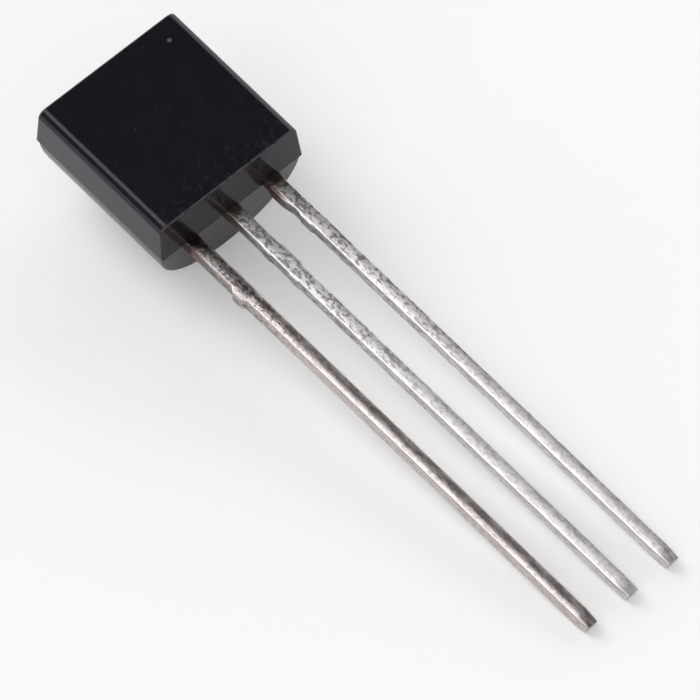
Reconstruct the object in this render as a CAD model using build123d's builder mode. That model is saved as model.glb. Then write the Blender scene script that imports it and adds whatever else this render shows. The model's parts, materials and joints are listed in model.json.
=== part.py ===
"""TO-92 transistor: three stamped leads, a silicon chip and two bond wires in a moulded body.

Millimetres. It lies flat face up, as it comes to rest: the round back's edge at the leads' end
and the three tips touch the surface. +Z is up, +X runs towards the tips, and the origin is on
the surface, below the middle of the outline.
"""
from build123d import *
from math import asin, atan2, cos, hypot, radians, sin, tan
import os

# Moulded body
body_length = 4.6          # along the leads, at the parting plane
body_width = 4.4           # across the leads, at the parting plane
flat_height = 1.2          # parting plane to flat face
side_draft = 3.5           # degrees, the sides above the parting plane
side_radius = 0.24         # between the flat face and the sides
upper_draft = 4            # degrees, the ends above the parting plane
lower_draft = 10.5         # degrees, the ends below it
parting_step = 0.03        # how far the lower half stands back all round
edge_radius = 0.06         # round the ends of both halves
pin_mark_diameter = 1.5    # ejector pin's mark on the round back
pin_mark_depth = 0.16
gate_width = 1.1           # where the gate broke off the far end
gate_height = 0.35
gate_stub = 0.05

# Leads, stamped from one strip, with their upper faces in the parting plane
lead_pitch = 1.27
lead_width = 0.38
lead_thickness = 0.42
lead_length = 14.2         # outside the body
lead_edge_radius = 0.05
tip_length = 0.5           # the stretch that the last shear pinched
tip_inset = 0.04           # how far it draws in on each face
tie_bar_distance = 1.85    # body to the middle of the sheared tie bar
tie_bar_length = 0.5
tie_bar_stub = 0.05        # what the shear left on each edge
tie_bar_slope = 35         # degrees

# Ends of the leads inside the body
base_neck = 0.85           # body's end face to the base post
base_post_length = 0.7
base_post_width = 0.95
emitter_neck = 1.15        # body's end face to the emitter post
emitter_post_length = 1.6
emitter_post_width = 0.66
shoulder_neck = 0.75       # body's end face to the collector's shoulder
shoulder_length = 0.45     # keys the lead in the moulding
shoulder_width = 0.62
pad_neck = 2.05            # body's end face to the die pad
pad_length = 1.5
pad_gap = 0.32             # between the emitter post and the die pad
stamping_radius = 0.1      # corners of posts and pad

# Chip and wires
die_size = 0.45
die_thickness = 0.2
bond_offset = 0.11         # from the chip's middle to each bond
wire_diameter = 0.03
ball_diameter = 0.09
ball_height = 0.03
loop_height = 0.22         # above the chip
loop_radius = 0.09
stitch_length = 0.12
stitch_width = 0.08
stitch_height = 0.036

# Resting pose: the heel is the rounded edge of the back at the leads' end, the toe a lead's tip
back_radius = body_width / 2 - parting_step
heel_drop = back_radius - edge_radius
heel_lean = radians(lower_draft)
heel_setback = parting_step + heel_drop * tan(heel_lean) + edge_radius / cos(heel_lean)
toe_drop = lead_thickness - tip_inset
span = lead_length + heel_setback
rise = heel_drop - toe_drop
tilt = atan2(rise, span) + asin(edge_radius / hypot(span, rise))
overall_length = lead_length + body_length + gate_stub
package = Plane(
    origin=(
        (overall_length / 2 - lead_length) * cos(tilt),
        0,
        lead_length * sin(tilt) + toe_drop * cos(tilt),
    ),
    x_dir=(cos(tilt), 0, -sin(tilt)),
    z_dir=(sin(tilt), 0, cos(tilt)),
)
along = Axis(package.origin, package.x_dir)
upward = Axis(package.origin, package.z_dir)


def level(height):
    """Plane parallel to the flat face. X runs along the leads and Y across them."""
    return package.offset(height)


def station(distance):
    """Plane across the package, this far beyond its end face. X runs across and Y upwards."""
    return Plane(
        origin=package.from_local_coords((distance, 0, 0)),
        x_dir=package.y_dir,
        z_dir=package.x_dir,
    )


# Leads: each is one stamping, with the same part outside the body
emitter_across = -lead_pitch
base_across = 0
collector_across = lead_pitch
lead_bottom = level(-lead_thickness)
shank_length = lead_length - tip_length


def outer_lead(across):
    """Rounded shank, stubs of the sheared tie bar and pinched tip."""
    middle = (across, -lead_thickness / 2)
    with BuildPart() as outer:
        with BuildSketch(station(0)):
            with Locations(middle):
                RectangleRounded(lead_width, lead_thickness, lead_edge_radius)
        extrude(amount=shank_length)
        with BuildSketch(station(shank_length)):
            with Locations(middle):
                RectangleRounded(lead_width, lead_thickness, lead_edge_radius)
        with BuildSketch(station(lead_length)):
            with Locations(middle):
                RectangleRounded(
                    lead_width - 2 * tip_inset, lead_thickness - 2 * tip_inset, lead_edge_radius
                )
        loft(ruled=True)
        with BuildSketch(lead_bottom):
            with Locations((tie_bar_distance, across)):
                for turn in (0, 180):
                    Trapezoid(
                        tie_bar_length,
                        lead_width / 2 + tie_bar_stub,
                        90 - tie_bar_slope,
                        rotation=turn,
                        align=(Align.CENTER, Align.MIN),
                    )
        extrude(amount=lead_thickness)
    return outer.part


inward = (Align.MAX, Align.CENTER)

with BuildPart() as lead_base:
    add(outer_lead(base_across))
    with BuildSketch(lead_bottom):
        with Locations((0, base_across)):
            Rectangle(base_neck + base_post_length / 2, lead_width, align=inward)
        with Locations((-base_neck, base_across)):
            RectangleRounded(base_post_length, base_post_width, stamping_radius, align=inward)
    extrude(amount=lead_thickness)

with BuildPart() as lead_emitter:
    add(outer_lead(emitter_across))
    with BuildSketch(lead_bottom):
        with Locations((0, emitter_across)):
            Rectangle(emitter_neck + emitter_post_length / 2, lead_width, align=inward)
        with Locations((-emitter_neck, emitter_across)):
            RectangleRounded(emitter_post_length, emitter_post_width, stamping_radius, align=inward)
    extrude(amount=lead_thickness)

pad_near_edge = collector_across + lead_width / 2
pad_far_edge = emitter_across + emitter_post_width / 2 + pad_gap
pad_width = pad_near_edge - pad_far_edge
pad_middle = (-pad_neck - pad_length / 2, (pad_near_edge + pad_far_edge) / 2)

with BuildPart() as lead_collector:
    add(outer_lead(collector_across))
    with BuildSketch(lead_bottom):
        with Locations((0, collector_across)):
            Rectangle(pad_neck + pad_length / 2, lead_width, align=inward)
        with Locations((-shoulder_neck, collector_across)):
            RectangleRounded(shoulder_length, shoulder_width, stamping_radius, align=inward)
        with Locations(pad_middle):
            RectangleRounded(pad_length, pad_width, stamping_radius)
    extrude(amount=lead_thickness)


# Chip, face to face on the middle of the pad
with BuildPart() as die:
    with BuildSketch(package):
        with Locations(pad_middle):
            Rectangle(die_size, die_size)
    extrude(amount=die_thickness)


def bond_wire(start, end):
    """Ball bond on the chip at start, a looped wire and a flattened stitch on the post at end."""
    first = Vector(*start)
    run = Vector(*end) - first
    reach = run.length
    side_view = Plane(
        origin=package.from_local_coords((first.X, first.Y, 0)),
        x_dir=package.x_dir * (run.X / reach) + package.y_dir * (run.Y / reach),
        z_dir=package.x_dir * (run.Y / reach) - package.y_dir * (run.X / reach),
    )
    stitch_plane = Plane(
        origin=side_view.from_local_coords((reach, 0, 0)),
        x_dir=side_view.x_dir,
        z_dir=package.z_dir,
    )
    with BuildPart() as one_wire:
        with BuildSketch(level(die_thickness)):
            with Locations(start):
                Circle(ball_diameter / 2)
        extrude(amount=ball_height)
        with BuildLine(side_view):
            FilletPolyline(
                (0, die_thickness + ball_height / 2),
                (0, die_thickness + loop_height),
                (reach, stitch_height / 2),
                radius=loop_radius,
            )
        with BuildSketch(level(die_thickness + ball_height / 2)):
            with Locations(start):
                Circle(wire_diameter / 2)
        sweep()
        with BuildSketch(stitch_plane):
            Rectangle(stitch_length, stitch_width)
        extrude(amount=stitch_height)
    return one_wire


bond_wire_base = bond_wire(
    (pad_middle[0] + bond_offset, pad_middle[1]),
    (-base_neck - base_post_length / 2, base_across),
)
bond_wire_emitter = bond_wire(
    (pad_middle[0], pad_middle[1] - bond_offset),
    (-emitter_neck - emitter_post_length / 2, emitter_across),
)


# Upper half of the moulding: flat face, rounded into drafted sides, and drafted ends
with BuildPart() as upper_half:
    with BuildSketch(station(0)):
        Trapezoid(body_width, flat_height, 90 - side_draft, align=(Align.CENTER, Align.MIN))
        fillet(vertices().group_by(Axis.Y)[-1], radius=side_radius)
    extrude(amount=-body_length)
    draft(faces().filter_by(along), neutral_plane=package, angle=upper_draft)
    parting_face = faces().sort_by(upward)[0]
    end_faces = faces().sort_by(along)[0] + faces().sort_by(along)[-1]
    fillet(end_faces.edges() - parting_face.edges(), radius=edge_radius)

# Lower half: round back between drafted ends, with the ejector pin's mark and the gate's stub
with BuildPart() as lower_half:
    with BuildSketch(station(-parting_step)):
        with BuildLine():
            CenterArc((0, 0), back_radius, 180, 180)
            Line((-back_radius, 0), (back_radius, 0))
        make_face()
    extrude(amount=2 * parting_step - body_length)
    draft(faces().filter_by(along), neutral_plane=package, angle=-lower_draft)
    fillet(edges().filter_by(GeomType.LINE, reverse=True), radius=edge_radius)
    with BuildSketch(level(-back_radius)):
        with Locations((-body_length / 2, 0)):
            Circle(pin_mark_diameter / 2)
    extrude(amount=pin_mark_depth, mode=Mode.SUBTRACT)
    with BuildSketch(station(-body_length - gate_stub)):
        Rectangle(gate_width, gate_height, align=(Align.CENTER, Align.MAX))
    extrude(until=Until.NEXT)

# Body: moulded round everything inside it
with BuildPart() as body:
    add(upper_half.part)
    add(lower_half.part)
    for inner in (lead_emitter, lead_base, lead_collector, die, bond_wire_base, bond_wire_emitter):
        add(inner.part, mode=Mode.SUBTRACT)


os.makedirs("parts", exist_ok=True)
pieces = {
    "body": body,
    "lead_emitter": lead_emitter,
    "lead_base": lead_base,
    "lead_collector": lead_collector,
    "die": die,
    "bond_wire_base": bond_wire_base,
    "bond_wire_emitter": bond_wire_emitter,
}
for name, piece in pieces.items():
    piece.part.label = name
    export_step(piece.part, f"parts/{name}.step")
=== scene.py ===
"""Looks of the TO-92 transistor: glossy black moulding, rough tinned leads, pale studio.

The part's sizes and places are in millimetres in the package frame: X runs along the leads
from the body's end face to the tips, Y across them from the emitter to the collector, and Z
out of the flat face, with Z 0 on the leads' upper faces. The floor and the soft box are in
metres in the row frame.
"""
import json
import math

import bpy
from mathutils import Matrix, Vector, noise


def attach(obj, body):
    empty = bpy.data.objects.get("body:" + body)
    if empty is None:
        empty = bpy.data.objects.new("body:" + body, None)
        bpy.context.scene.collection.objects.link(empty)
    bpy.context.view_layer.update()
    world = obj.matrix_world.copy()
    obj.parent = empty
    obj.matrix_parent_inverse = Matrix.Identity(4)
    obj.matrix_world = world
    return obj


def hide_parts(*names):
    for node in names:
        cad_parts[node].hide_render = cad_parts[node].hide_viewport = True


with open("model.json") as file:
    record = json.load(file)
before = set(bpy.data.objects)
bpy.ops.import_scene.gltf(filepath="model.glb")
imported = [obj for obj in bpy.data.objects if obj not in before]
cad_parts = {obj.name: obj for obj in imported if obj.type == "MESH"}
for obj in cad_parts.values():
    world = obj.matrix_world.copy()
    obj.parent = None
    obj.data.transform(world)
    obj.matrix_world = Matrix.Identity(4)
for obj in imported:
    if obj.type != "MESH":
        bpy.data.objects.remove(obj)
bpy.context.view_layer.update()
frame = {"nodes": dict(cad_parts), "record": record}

MM = 0.001

lead_pitch = 1.27
lead_width = 0.38
lead_thickness = 0.42
lead_length = 14.2

# Package frame, from the mounts
mounts = {mount["name"]: mount for mount in frame["record"]["mounts"]}
along = Vector(mounts["board_leads"]["axis"]).normalized()
upward = Vector(mounts["flat_face"]["axis"]).normalized()
across = upward.cross(along)
tip_middle = Vector(mounts["board_leads"]["pos_m"])
package_origin = tip_middle - along * lead_length * MM + upward * lead_thickness / 2 * MM
tilt = math.atan2(-along.z, along.x)


def place(point):
    """A point in the package frame as the row frame's metres."""
    x, y, z = point
    return package_origin + (along * x + across * y + upward * z) * MM


# Camera, at the photograph's viewing angle
eye = (146.812, -112.444, 302.565)
aim = (4.0363, 0.065, -1.6494)
view_roll = math.radians(-3.621)
view_lens = 771.43


def add_camera():
    data = bpy.data.cameras.new("camera")
    data.lens = view_lens
    data.sensor_width = 36
    data.clip_start = 0.01
    data.clip_end = 10
    camera = bpy.data.objects.new("camera", data)
    bpy.context.scene.collection.objects.link(camera)
    back = (place(eye) - place(aim)).normalized()
    right = upward.cross(back).normalized()
    level_view = Matrix((right, back.cross(right), back)).transposed()
    camera.matrix_world = (
        Matrix.Translation(place(eye))
        @ (level_view @ Matrix.Rotation(view_roll, 3, "Z")).to_4x4()
    )
    bpy.context.scene.camera = camera


# Node helpers


def new_material(name):
    """Node material with a bare shader. Returns the material, its tree and the shader."""
    material = bpy.data.materials.new(name)
    material.use_nodes = True
    tree = material.node_tree
    tree.nodes.clear()
    shader = tree.nodes.new("ShaderNodeBsdfPrincipled")
    output = tree.nodes.new("ShaderNodeOutputMaterial")
    tree.links.new(shader.outputs["BSDF"], output.inputs["Surface"])
    return material, tree, shader


def node(tree, kind, inputs=None, **settings):
    """Adds a node, sets its properties, and sets or links its inputs."""
    made = tree.nodes.new("ShaderNode" + kind)
    for key, value in settings.items():
        setattr(made, key, value)
    for key, value in (inputs or {}).items():
        if isinstance(value, bpy.types.NodeSocket):
            tree.links.new(value, made.inputs[key])
        else:
            made.inputs[key].default_value = value
    return made


def package_point(tree):
    """The shaded point in the package frame."""
    point = node(tree, "TexCoord").outputs["Object"]
    moved = node(tree, "VectorMath", {0: point, 1: package_origin}, operation="SUBTRACT")
    turned = node(
        tree, "VectorRotate", {"Vector": moved.outputs[0], "Angle": -tilt},
        rotation_type="Y_AXIS",
    )
    return node(
        tree, "VectorMath", {0: turned.outputs[0], "Scale": 1 / MM}, operation="SCALE"
    ).outputs[0]


def axes_of(tree, vector):
    return node(tree, "SeparateXYZ", {0: vector}).outputs


def stretched(tree, vector, along_scale):
    """The point with its distance along the leads scaled, so that a pattern runs along them."""
    return node(
        tree, "VectorMath", {0: vector, 1: (along_scale, 1.0, 1.0)}, operation="MULTIPLY"
    ).outputs[0]


def dot_product(tree, vector, axis):
    return node(
        tree, "VectorMath", {0: vector, 1: axis}, operation="DOT_PRODUCT"
    ).outputs["Value"]


def noise_value(tree, vector, scale, detail=2.0, roughness=0.5):
    return node(
        tree, "TexNoise",
        {"Vector": vector, "Scale": scale, "Detail": detail, "Roughness": roughness},
    ).outputs["Fac"]


def remap(tree, value, low, high, to_low=0.0, to_high=1.0, smooth=True):
    return node(
        tree, "MapRange",
        {"Value": value, "From Min": low, "From Max": high, "To Min": to_low, "To Max": to_high},
        interpolation_type="SMOOTHSTEP" if smooth else "LINEAR",
    ).outputs["Result"]


def math_node(tree, operation, first, second=0.0):
    return node(tree, "Math", {0: first, 1: second}, operation=operation).outputs[0]


def mix_colour(tree, factor, first, second):
    """Mixes two colours. Sockets 6, 7 and 2 are the ones that the Mix node has for colours."""
    mixed = node(tree, "Mix", {"Factor": factor}, data_type="RGBA")
    for socket, value in ((mixed.inputs[6], first), (mixed.inputs[7], second)):
        if isinstance(value, bpy.types.NodeSocket):
            tree.links.new(value, socket)
        else:
            socket.default_value = (*value, 1)
    return mixed.outputs[2]


def bump(tree, height, distance, strength=1.0, normal=None):
    inputs = {"Height": height, "Distance": distance * MM, "Strength": strength}
    if normal is not None:
        inputs["Normal"] = normal
    return node(tree, "Bump", inputs).outputs["Normal"]


# Moulding

epoxy_black = (0.0056, 0.0052, 0.007)
epoxy_grey = (0.0076, 0.0067, 0.009)
epoxy_ior = 1.5
violet_sheen = (0.92, 0.82, 1.0, 1.0)
dust_colour = (0.06, 0.055, 0.055)
haze_colour = (0.06, 0.053, 0.054)
wear_and_highlight_colour = (0.055, 0.052, 0.054)
dot_colour = (0.07, 0.068, 0.072)
dot_middle = (-3.94, 1.5, 1.2)
dot_radius = 0.075
dot_core = 0.6             # share of the radius that has the full colour
haze_start = -1.9          # the haze thickens from here
haze_full = -0.1           # to here, beside the leads
haze_share = 0.26
dust_share = 0.45
smoothest = 0.07
roughest = 0.12
rubbed_rough = 0.3         # how much rougher the dot and the worn edges with their painted highlight are
grain_depth = 0.0012
wave_depth = 0.004


def epoxy_material():
    """Black mould compound: violet sheen, small dot, dust, haze near the leads, worn edges with a
    painted highlight.
    """
    material, tree, shader = new_material("mould_epoxy")
    point = package_point(tree)
    cloud = noise_value(tree, point, scale=1.1, detail=4.0, roughness=0.6)
    colour = mix_colour(tree, remap(tree, cloud, 0.35, 0.7), epoxy_black, epoxy_grey)

    specks = node(
        tree, "TexVoronoi", {"Vector": point, "Scale": 4.0, "Randomness": 1.0}
    ).outputs["Distance"]
    drifts = noise_value(tree, point, scale=2.3)
    dusty = remap(tree, drifts, 0.5, 0.6, 0.0, dust_share)
    dust = math_node(tree, "MULTIPLY", remap(tree, specks, 0.13, 0.06), dusty)
    colour = mix_colour(tree, dust, colour, dust_colour)

    smears = noise_value(tree, point, scale=6.0, detail=4.0, roughness=0.65)
    smears = remap(tree, smears, 0.5, 0.72)
    hazy = remap(tree, axes_of(tree, point)["X"], haze_start, haze_full, 0.0, haze_share)
    colour = mix_colour(tree, math_node(tree, "MULTIPLY", smears, hazy), colour, haze_colour)

    from_dot = node(tree, "VectorMath", {0: point, 1: dot_middle}, operation="DISTANCE")
    dot = remap(tree, from_dot.outputs["Value"], dot_radius, dot_radius * dot_core)
    colour = mix_colour(tree, dot, colour, dot_colour)

    # The edges to the end face are painted lighter: partly wear and partly a painted highlight.
    normal = node(tree, "NewGeometry").outputs["Normal"]
    slope = math_node(
        tree, "MULTIPLY", dot_product(tree, normal, along), dot_product(tree, normal, upward)
    )
    end_edge = remap(tree, math_node(tree, "ABSOLUTE", slope), 0.12, 0.4)
    patches = noise_value(tree, point, scale=6.0, detail=4.0, roughness=0.7)
    patchy = remap(tree, patches, 0.3, 0.6, 0.3, 1.0)
    wear_and_highlight = math_node(tree, "MULTIPLY", end_edge, patchy)
    colour = mix_colour(tree, wear_and_highlight, colour, wear_and_highlight_colour)
    tree.links.new(colour, shader.inputs["Base Color"])

    shader.inputs["IOR"].default_value = epoxy_ior
    shader.inputs["Specular Tint"].default_value = violet_sheen
    wiped = noise_value(tree, point, scale=3.0, detail=3.0)
    rough = remap(tree, wiped, 0.3, 0.7, smoothest, roughest)
    rubbed_and_highlit = math_node(tree, "MAXIMUM", dot, wear_and_highlight)
    rough = math_node(tree, "ADD", rough, math_node(tree, "MULTIPLY", rubbed_and_highlit, rubbed_rough))
    tree.links.new(rough, shader.inputs["Roughness"])

    grains = noise_value(tree, point, scale=22.0, detail=3.0, roughness=0.6)
    grained = bump(tree, grains, grain_depth)
    waves = noise_value(tree, point, scale=2.0)
    waved = bump(tree, waves, wave_depth, normal=grained)
    tree.links.new(waved, shader.inputs["Normal"])
    return material


# Tin on the leads

copper_stain = (0.17, 0.085, 0.06)
stain_share = 0.8
stain_length = 0.45        # along the upper face, and as much again on the side faces
rubbed_highlight_share = 0.8         # how bright the rubbed upper edges are; the brightness is partly a painted highlight
rubbed_polish = 0.04       # how much smoother they are
pit_depth = 0.009
pitted_to = 2.0            # the tin is fully pitted up to here
pits_left = 0.06           # share of their depth that is left far out
spots_near = 0.82          # share of the dull spots beside the body
spots_far = 0.32           # and far out
drawn_depth = 0.002        # of the fine lines along the lead
shade_start = 0.6          # the shade beside the body fades from here
shade_end = 3.6


def tin_material(name, middle, dull, bright, smooth_rough, dull_rough, root_share, rough_end):
    """Dipped tin on the copper lead whose middle lies this far across.

    dull and bright are the ends of its mottling, and smooth_rough and dull_rough those of its
    roughness. root_share is how much of the brightness is left beside the body, and the
    pits and the mottling have faded at rough_end.
    """
    material, tree, shader = new_material(name)
    point = package_point(tree)
    axes = axes_of(tree, point)
    distance = axes["X"]
    off_middle = math_node(
        tree, "ABSOLUTE", math_node(tree, "SUBTRACT", axes["Y"], middle)
    )
    # Upper edges: rubbed, and painted back to the bright colour as a highlight over the shade
    # beside the body.
    rubbed_and_highlit = math_node(
        tree, "MULTIPLY",
        remap(tree, off_middle, 0.13, 0.165), remap(tree, axes["Z"], -0.07, -0.03),
    )
    pitted = remap(tree, distance, rough_end, pitted_to)

    fine_spots = noise_value(
        tree, stretched(tree, point, 0.6), scale=11.0, detail=4.0, roughness=0.6
    )
    wide_spots = noise_value(tree, stretched(tree, point, 0.5), scale=3.0)
    spots = math_node(tree, "ADD", fine_spots, math_node(tree, "MULTIPLY", wide_spots, 0.4))
    spots = math_node(
        tree, "MULTIPLY",
        remap(tree, spots, 0.65, 0.8), remap(tree, pitted, 0.0, 1.0, spots_far, spots_near),
    )
    colour = mix_colour(tree, math_node(tree, "SUBTRACT", 1.0, spots), dull, bright)
    shade = remap(tree, distance, shade_start, shade_end, root_share, 1.0)
    colour = node(tree, "VectorMath", {0: colour, "Scale": shade}, operation="SCALE").outputs[0]
    colour = mix_colour(tree, math_node(tree, "MULTIPLY", rubbed_and_highlit, rubbed_highlight_share), colour, bright)

    on_side = remap(tree, off_middle, 0.17, 0.19)
    from_root = math_node(
        tree, "SUBTRACT", distance, math_node(tree, "MULTIPLY", on_side, stain_length)
    )
    stain = math_node(
        tree, "MULTIPLY", remap(tree, from_root, stain_length, 0.0), stain_share
    )
    colour = mix_colour(tree, stain, colour, copper_stain)
    tree.links.new(colour, shader.inputs["Base Color"])

    shader.inputs["Metallic"].default_value = 1.0
    streaks = noise_value(
        tree, stretched(tree, point, 0.2), scale=9.0, detail=4.0, roughness=0.6
    )
    rough = remap(tree, streaks, 0.35, 0.65, smooth_rough, dull_rough)
    rough = math_node(
        tree, "SUBTRACT", rough, math_node(tree, "MULTIPLY", rubbed_and_highlit, rubbed_polish)
    )
    tree.links.new(rough, shader.inputs["Roughness"])

    pits = noise_value(tree, point, scale=13.0, detail=4.0, roughness=0.6)
    dented = bump(tree, pits, pit_depth, remap(tree, pitted, 0.0, 1.0, pits_left, 1.0))
    lines = noise_value(
        tree, stretched(tree, point, 0.05), scale=30.0, detail=3.0, roughness=0.6
    )
    drawn = bump(tree, lines, drawn_depth, normal=dented)
    tree.links.new(drawn, shader.inputs["Normal"])
    return material


# Chip and wires

silicon_grey = (0.16, 0.17, 0.2)
gold_yellow = (0.95, 0.74, 0.34)
darkening = 0.8            # of the darker end of their variation


def plain_part_material(name, colour, metallic, roughness, scale):
    """Small sealed pieces: a base colour that varies a little."""
    material, tree, shader = new_material(name)
    value = noise_value(tree, package_point(tree), scale, detail=3.0)
    darker = tuple(darkening * part for part in colour)
    tree.links.new(mix_colour(tree, value, darker, colour), shader.inputs["Base Color"])
    shader.inputs["Metallic"].default_value = metallic
    shader.inputs["Roughness"].default_value = roughness
    return material


# Leads: lofts of rounded sections, from the cut tip to the stamped end inside the body

half_width = lead_width / 2
side_steps = 7             # faces along each side of a section
corner_steps = 5           # faces round each of its corners
corner_radius = 0.04
inner_corner_radius = 0.004
side_crown_share = 0.4     # how much of the upper face's crown the other faces have
sharp_angle = math.radians(40)

# Distances from the body at which the sections stand
station_spacing = 0.07
first_spacing = 0.015      # at the tip
close_stations_to = 5      # up to here they stand twice as close
last_station = 0.05        # and from here on they follow the stamping inside the body

# Ripples of the tin, which are calm at both ends and settle beyond the dipped stretch
ripple_height = 0.0035
ripple_scale = 6
ripple_stretch = 0.6
fine_ripple_scale = 2.3
fine_ripple_share = 0.35
rippled_to = 3.2
ripples_settled = 5.2
settled_share = 0.22
calm_at_body = 0.25
calm_at_tip = 0.6

# Tip: the last shear drew in each face by this much, and cut it aslant
tip_length = 0.5
tip_left = 0.012
tip_right = 0.03
tip_top = 0.02
tip_bottom = 0.04
tip_bevel = 0.007
tip_slant = 0.15
tip_slant_length = 0.3

# Stamping inside the body
stamping_radius = 0.1
step_slope = 0.004         # keeps the faces at its steps from closing up
emitter_post_width = 0.66
pad_gap = 0.32
pad_near_edge = lead_pitch + half_width
pad_far_edge = -lead_pitch + emitter_post_width / 2 + pad_gap

# Posts, shoulder and pad: distance from the end face, length, left and right edge
stamped_blocks = {
    "base": [(0.85, 0.7, -0.475, 0.475)],
    "emitter": [(1.15, 1.6, -emitter_post_width / 2, emitter_post_width / 2)],
    "collector": [
        (0.75, 0.45, -0.31, 0.31),
        (2.05, 1.5, pad_far_edge - lead_pitch, pad_near_edge - lead_pitch),
    ],
}


def smooth_step(value, low, high):
    t = min(max((value - low) / (high - low), 0.0), 1.0)
    return t * t * (3 - 2 * t)


def hump(x, middle, half, shoulder):
    """1 on the middle stretch, falling smoothly to 0 over the shoulders."""
    return 1 - smooth_step(abs(x - middle), half, half + shoulder)


def emitter_edges(x):
    """Sheared tie bar: a stub on the outer edge and a trace of one on the inner edge."""
    left = 0.085 * hump(x, middle=1.88, half=0.12, shoulder=0.16)
    right = 0.02 * hump(x, middle=1.75, half=0.3, shoulder=0.3)
    return left, right


def base_edges(x):
    """Two small burrs on the left edge and the tie bar's long stub on the right."""
    near_burr = 0.02 * hump(x, middle=1.4, half=0.08, shoulder=0.1)
    far_burr = 0.025 * hump(x, middle=2.4, half=0.1, shoulder=0.1)
    right = 0.05 * hump(x, middle=1.9, half=0.28, shoulder=0.2)
    return near_burr + far_burr, right


def collector_edges(x):
    """A flare beside the body and a small burr on the left edge, a trace on the right."""
    flare = 0.07 * hump(x, middle=0.35, half=0.15, shoulder=0.5) * smooth_step(x, 0.0, 0.2)
    burr = 0.03 * hump(x, middle=1.38, half=0.14, shoulder=0.14)
    right = 0.015 * hump(x, middle=1.9, half=0.2, shoulder=0.2)
    return flare + burr, right


def section_ring(x, left, right, bottom, top, radius, crown):
    """Points of a rounded rectangle across the lead, counted from its upper right corner.

    Its upper face bulges by crown, and the other faces by a share of it.
    """
    corners = (
        (right - radius, top - radius, 0),
        (left + radius, top - radius, 90),
        (left + radius, bottom + radius, 180),
        (right - radius, bottom + radius, 270),
    )
    ring = []
    for index, (y, z, start) in enumerate(corners):
        for step in range(corner_steps + 1):
            angle = math.radians(start + 90 * step / corner_steps)
            ring.append(Vector((x, y + radius * math.cos(angle), z + radius * math.sin(angle))))
        here = ring[-1]
        next_y, next_z, next_start = corners[(index + 1) % 4]
        turn = math.radians(next_start)
        ahead = Vector((x, next_y + radius * math.cos(turn), next_z + radius * math.sin(turn)))
        outward = Vector((0, math.cos(turn), math.sin(turn)))
        share = 1.0 if index == 0 else side_crown_share
        for step in range(1, side_steps):
            t = step / side_steps
            rise = crown * 4 * t * (1 - t) * share
            ring.append(here.lerp(ahead, t) + outward * rise)
    return ring


def lead_stations():
    """Distances from the body at which the sections stand, from the tip inwards."""
    stations = [lead_length, lead_length - first_spacing]
    while stations[-1] > last_station:
        far_out = stations[-1] > close_stations_to
        stations.append(stations[-1] - (station_spacing if far_out else station_spacing / 2))
    return stations


def ripple_at(point, seed):
    """Height of the ripples at a point, as a share of their full height."""
    probe = Vector((point.x * ripple_stretch, point.y, point.z)) * ripple_scale + seed
    return noise.noise(probe) + noise.noise(probe * fine_ripple_scale) * fine_ripple_share


def outer_ring(x, middle, edges, twist, crown, seed):
    """Section of the tinned part of a lead at this distance from the body."""
    left_out, right_out = edges(x)
    pinch = smooth_step(x, lead_length - tip_length, lead_length)
    bevel = smooth_step(x, lead_length - station_spacing, lead_length) * tip_bevel
    left = -half_width - left_out + tip_left * pinch + bevel
    right = half_width + right_out - tip_right * pinch - bevel
    top = -tip_top * pinch - bevel
    bottom = -lead_thickness + tip_bottom * pinch
    at_tip = smooth_step(x, lead_length - calm_at_tip, lead_length)
    fade = smooth_step(x, 0.0, calm_at_body) * (1 - at_tip)
    ring = section_ring(x, left, right, bottom, top, corner_radius, crown * fade)
    centre = Vector((x, (left + right) / 2, (top + bottom) / 2))
    lively = 1 - smooth_step(x, rippled_to, ripples_settled)
    height = ripple_height * (settled_share + (1 - settled_share) * lively) * fade
    turn = math.radians(twist) * fade
    aslant = tip_slant * smooth_step(x, lead_length - tip_slant_length, lead_length)
    for index, point in enumerate(ring):
        outward = (point - centre).normalized()
        moved = point + outward * height * ripple_at(point, seed)
        y, z = moved.y - centre.y, moved.z - centre.z
        ring[index] = Vector((
            x + aslant * point.z / lead_thickness,
            centre.y + y * math.cos(turn) - z * math.sin(turn) + middle,
            centre.z + y * math.sin(turn) + z * math.cos(turn),
        ))
    return ring


def inner_outline(kind):
    """Left and right edges of the stamping inside the body, as (x, left, right) rows."""
    blocks = stamped_blocks[kind]
    quarter = [math.radians(angle) for angle in range(0, 91, 15)]
    neck = (-half_width, half_width)
    rows = [(0.0, *neck)]
    for number, (start, length, left, right) in enumerate(blocks):
        last = number == len(blocks) - 1
        rows.append((-start + step_slope, *neck))
        for turn in quarter:
            inset = stamping_radius * (1 - math.sin(turn))
            x = -start - stamping_radius * (1 - math.cos(turn))
            rows.append((x, min(left + inset, -half_width), max(right - inset, half_width)))
        for turn in reversed(quarter):
            inset = stamping_radius * (1 - math.sin(turn))
            x = -start - length + stamping_radius * (1 - math.cos(turn))
            edge_left, edge_right = left + inset, right - inset
            if not last:
                edge_left = min(edge_left, -half_width)
                edge_right = max(edge_right, half_width)
            rows.append((x, edge_left, edge_right))
        if not last:
            rows.append((-start - length - step_slope, *neck))
    return rows


def inner_ring(x, left, right, middle):
    """Section of the stamping inside the body."""
    ring = section_ring(x, left, right, -lead_thickness, 0.0, inner_corner_radius, 0.0)
    return [Vector((point.x, point.y + middle, point.z)) for point in ring]


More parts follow.
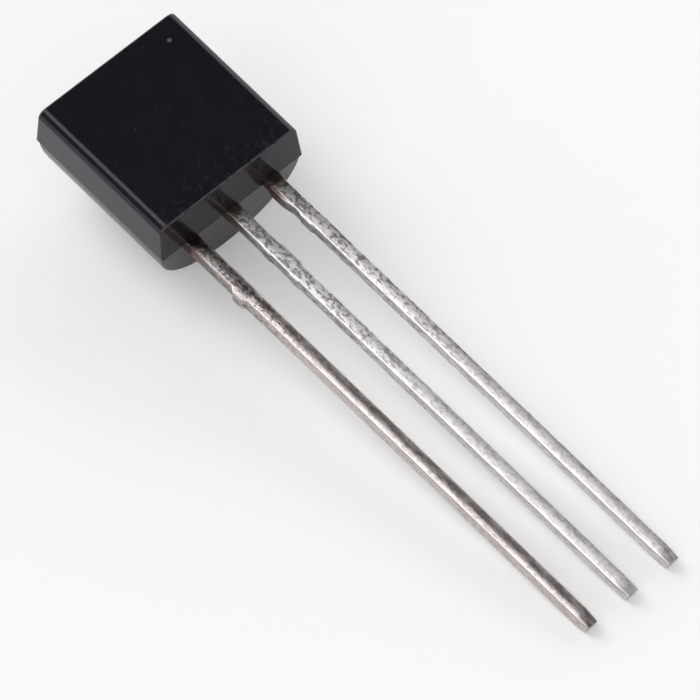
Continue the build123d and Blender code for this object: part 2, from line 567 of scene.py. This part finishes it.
def loft(name, rings):
    """Closed mesh through rings of equally many points, smooth but for its sharp edges."""
    size = len(rings[0])
    points = [place(point) for ring in rings for point in ring]
    faces = []
    for row in range(len(rings) - 1):
        for step in range(size):
            ahead = (step + 1) % size
            faces.append((
                row * size + step, (row + 1) * size + step,
                (row + 1) * size + ahead, row * size + ahead,
            ))
    faces.append(tuple(range(size)))
    faces.append(tuple(reversed(range((len(rings) - 1) * size, len(rings) * size))))
    mesh = bpy.data.meshes.new(name)
    mesh.from_pydata(points, [], faces)
    mesh.validate()
    for polygon in mesh.polygons:
        polygon.use_smooth = True
    mesh.set_sharp_from_angle(angle=sharp_angle)
    return mesh


def build_lead(kind, material, middle, edges, twist, crown, seed):
    """One lead, in place of the CAD node.

    edges gives how far its left and right edges stand out at a distance from the body, twist
    turns its section, in degrees, and seed moves its ripples.
    """
    offset = Vector((seed, 0, 0))
    rings = [outer_ring(x, middle, edges, twist, crown, offset) for x in lead_stations()]
    rings += [inner_ring(x, left, right, middle) for x, left, right in inner_outline(kind)]
    mesh = loft(kind + "_tin", rings)
    mesh.materials.append(material)
    lead = bpy.data.objects.new(mesh.name, mesh)
    bpy.context.scene.collection.objects.link(lead)
    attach(lead, "root")
    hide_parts("lead_" + kind)


# Studio

floor_half = 1.5           # metres
floor_white = 0.87
floor_mirrored_glow = 0.02
floor_seen_glow = 0.19
world_fore = 0.75          # level of the world beyond the tips
world_aft = 1.5            # level behind the body
world_least = 0.1

# Black flags: direction in the package frame, inner and outer angle in degrees, and depth
world_flags = (
    ((-0.41, 0.32, 0.854), 16, 34, 1.19),
    ((0.3, 0.32, 0.9), 14, 32, 0.95),
    ((-0.41, -0.75, 0.52), 14, 30, 1.1),
)


def add_floor():
    """Pale paper, which the camera sees a little whiter than it lights the object."""
    mesh = bpy.data.meshes.new("floor")
    signs = ((-1, -1), (1, -1), (1, 1), (-1, 1))
    corners = [(floor_half * x, floor_half * y, 0) for x, y in signs]
    mesh.from_pydata(corners, [], [(0, 1, 2, 3)])
    floor = bpy.data.objects.new("floor", mesh)
    bpy.context.scene.collection.objects.link(floor)
    material = bpy.data.materials.new("floor")
    material.use_nodes = True
    tree = material.node_tree
    tree.nodes.clear()
    paths = node(tree, "LightPath").outputs
    mirrored = math_node(tree, "MAXIMUM", paths["Is Glossy Ray"], paths["Is Transmission Ray"])
    strength = math_node(
        tree, "ADD",
        math_node(tree, "MULTIPLY", mirrored, floor_mirrored_glow),
        math_node(tree, "MULTIPLY", paths["Is Camera Ray"], floor_seen_glow),
    )
    white = (floor_white, floor_white, floor_white, 1)
    paper = node(tree, "BsdfDiffuse", {"Color": white}).outputs[0]
    glow = node(tree, "Emission", {"Color": (1, 1, 1, 1), "Strength": strength}).outputs[0]
    surface = node(tree, "AddShader", {0: paper, 1: glow}).outputs[0]
    output = node(tree, "OutputMaterial")
    tree.links.new(surface, output.inputs["Surface"])
    mesh.materials.append(material)


def add_world():
    """Pale studio with black flags, where the flat face, the leads and the near side mirror it."""
    world = bpy.data.worlds.new("studio")
    bpy.context.scene.world = world
    world.use_nodes = True
    tree = world.node_tree
    tree.nodes.clear()
    direction = node(tree, "TexCoord").outputs["Generated"]
    fore = dot_product(tree, direction, along)
    level = remap(tree, fore, -0.8, 0.8, world_aft, world_fore, smooth=False)
    for flag, inner, outer, depth in world_flags:
        toward = (along * flag[0] + across * flag[1] + upward * flag[2]).normalized()
        shade = remap(
            tree, dot_product(tree, direction, toward), math.cos(math.radians(outer)),
            math.cos(math.radians(inner)), 0.0, depth,
        )
        level = math_node(tree, "SUBTRACT", level, shade)
    level = math_node(tree, "MAXIMUM", level, world_least)
    light = node(tree, "Background", {"Color": (1, 1, 1, 1), "Strength": level})
    output = node(tree, "OutputWorld")
    tree.links.new(light.outputs[0], output.inputs["Surface"])


def add_soft_box(name, direction, distance, width, length, radiance):
    """Soft box that looks at the origin, in metres and in the row frame."""
    data = bpy.data.lights.new(name, "AREA")
    data.shape = "RECTANGLE"
    data.size = width
    data.size_y = length
    data.energy = radiance * math.pi * width * length
    lamp = bpy.data.objects.new(name, data)
    bpy.context.scene.collection.objects.link(lamp)
    away = Vector(direction).normalized()
    lamp.matrix_world = (
        Matrix.Translation(away * distance) @ away.to_track_quat("Z", "Y").to_matrix().to_4x4()
    )


# Scene


def dress(name, material):
    """Gives a CAD node its finish."""
    mesh = frame["nodes"][name].data
    mesh.materials.clear()
    mesh.materials.append(material)


lead_shapes = {
    "emitter": dict(middle=-lead_pitch, edges=emitter_edges, twist=0.5, crown=0.016, seed=3.0),
    "base": dict(middle=0.0, edges=base_edges, twist=5, crown=0.008, seed=11.0),
    "collector": dict(middle=lead_pitch, edges=collector_edges, twist=5, crown=0.008, seed=23.0),
}
lead_tins = {
    "emitter": dict(
        dull=(0.13, 0.096, 0.086), bright=(0.71, 0.647, 0.632),
        smooth_rough=0.2, dull_rough=0.3, root_share=0.5, rough_end=5.0,
    ),
    "base": dict(
        dull=(0.18, 0.17, 0.165), bright=(0.8, 0.78, 0.77),
        smooth_rough=0.32, dull_rough=0.42, root_share=0.68, rough_end=9.5,
    ),
    "collector": dict(
        dull=(0.18, 0.16, 0.155), bright=(0.8, 0.775, 0.765),
        smooth_rough=0.3, dull_rough=0.4, root_share=0.62, rough_end=9.5,
    ),
}

bpy.context.scene.view_settings.view_transform = "Standard"
add_camera()
add_floor()
add_world()
add_soft_box(
    "key", direction=(-0.5, -0.12, 0.86), distance=0.6, width=0.26, length=0.6, radiance=1.45
)

dress("body", epoxy_material())
for kind, shape in lead_shapes.items():
    tin = tin_material("tin_" + kind, shape["middle"], **lead_tins[kind])
    build_lead(kind, tin, **shape)
silicon = plain_part_material("silicon", silicon_grey, metallic=0.0, roughness=0.1, scale=12.0)
dress("die", silicon)
gold = plain_part_material("bond_wire", gold_yellow, metallic=1.0, roughness=0.15, scale=30.0)
dress("bond_wire_base", gold)
dress("bond_wire_emitter", gold)
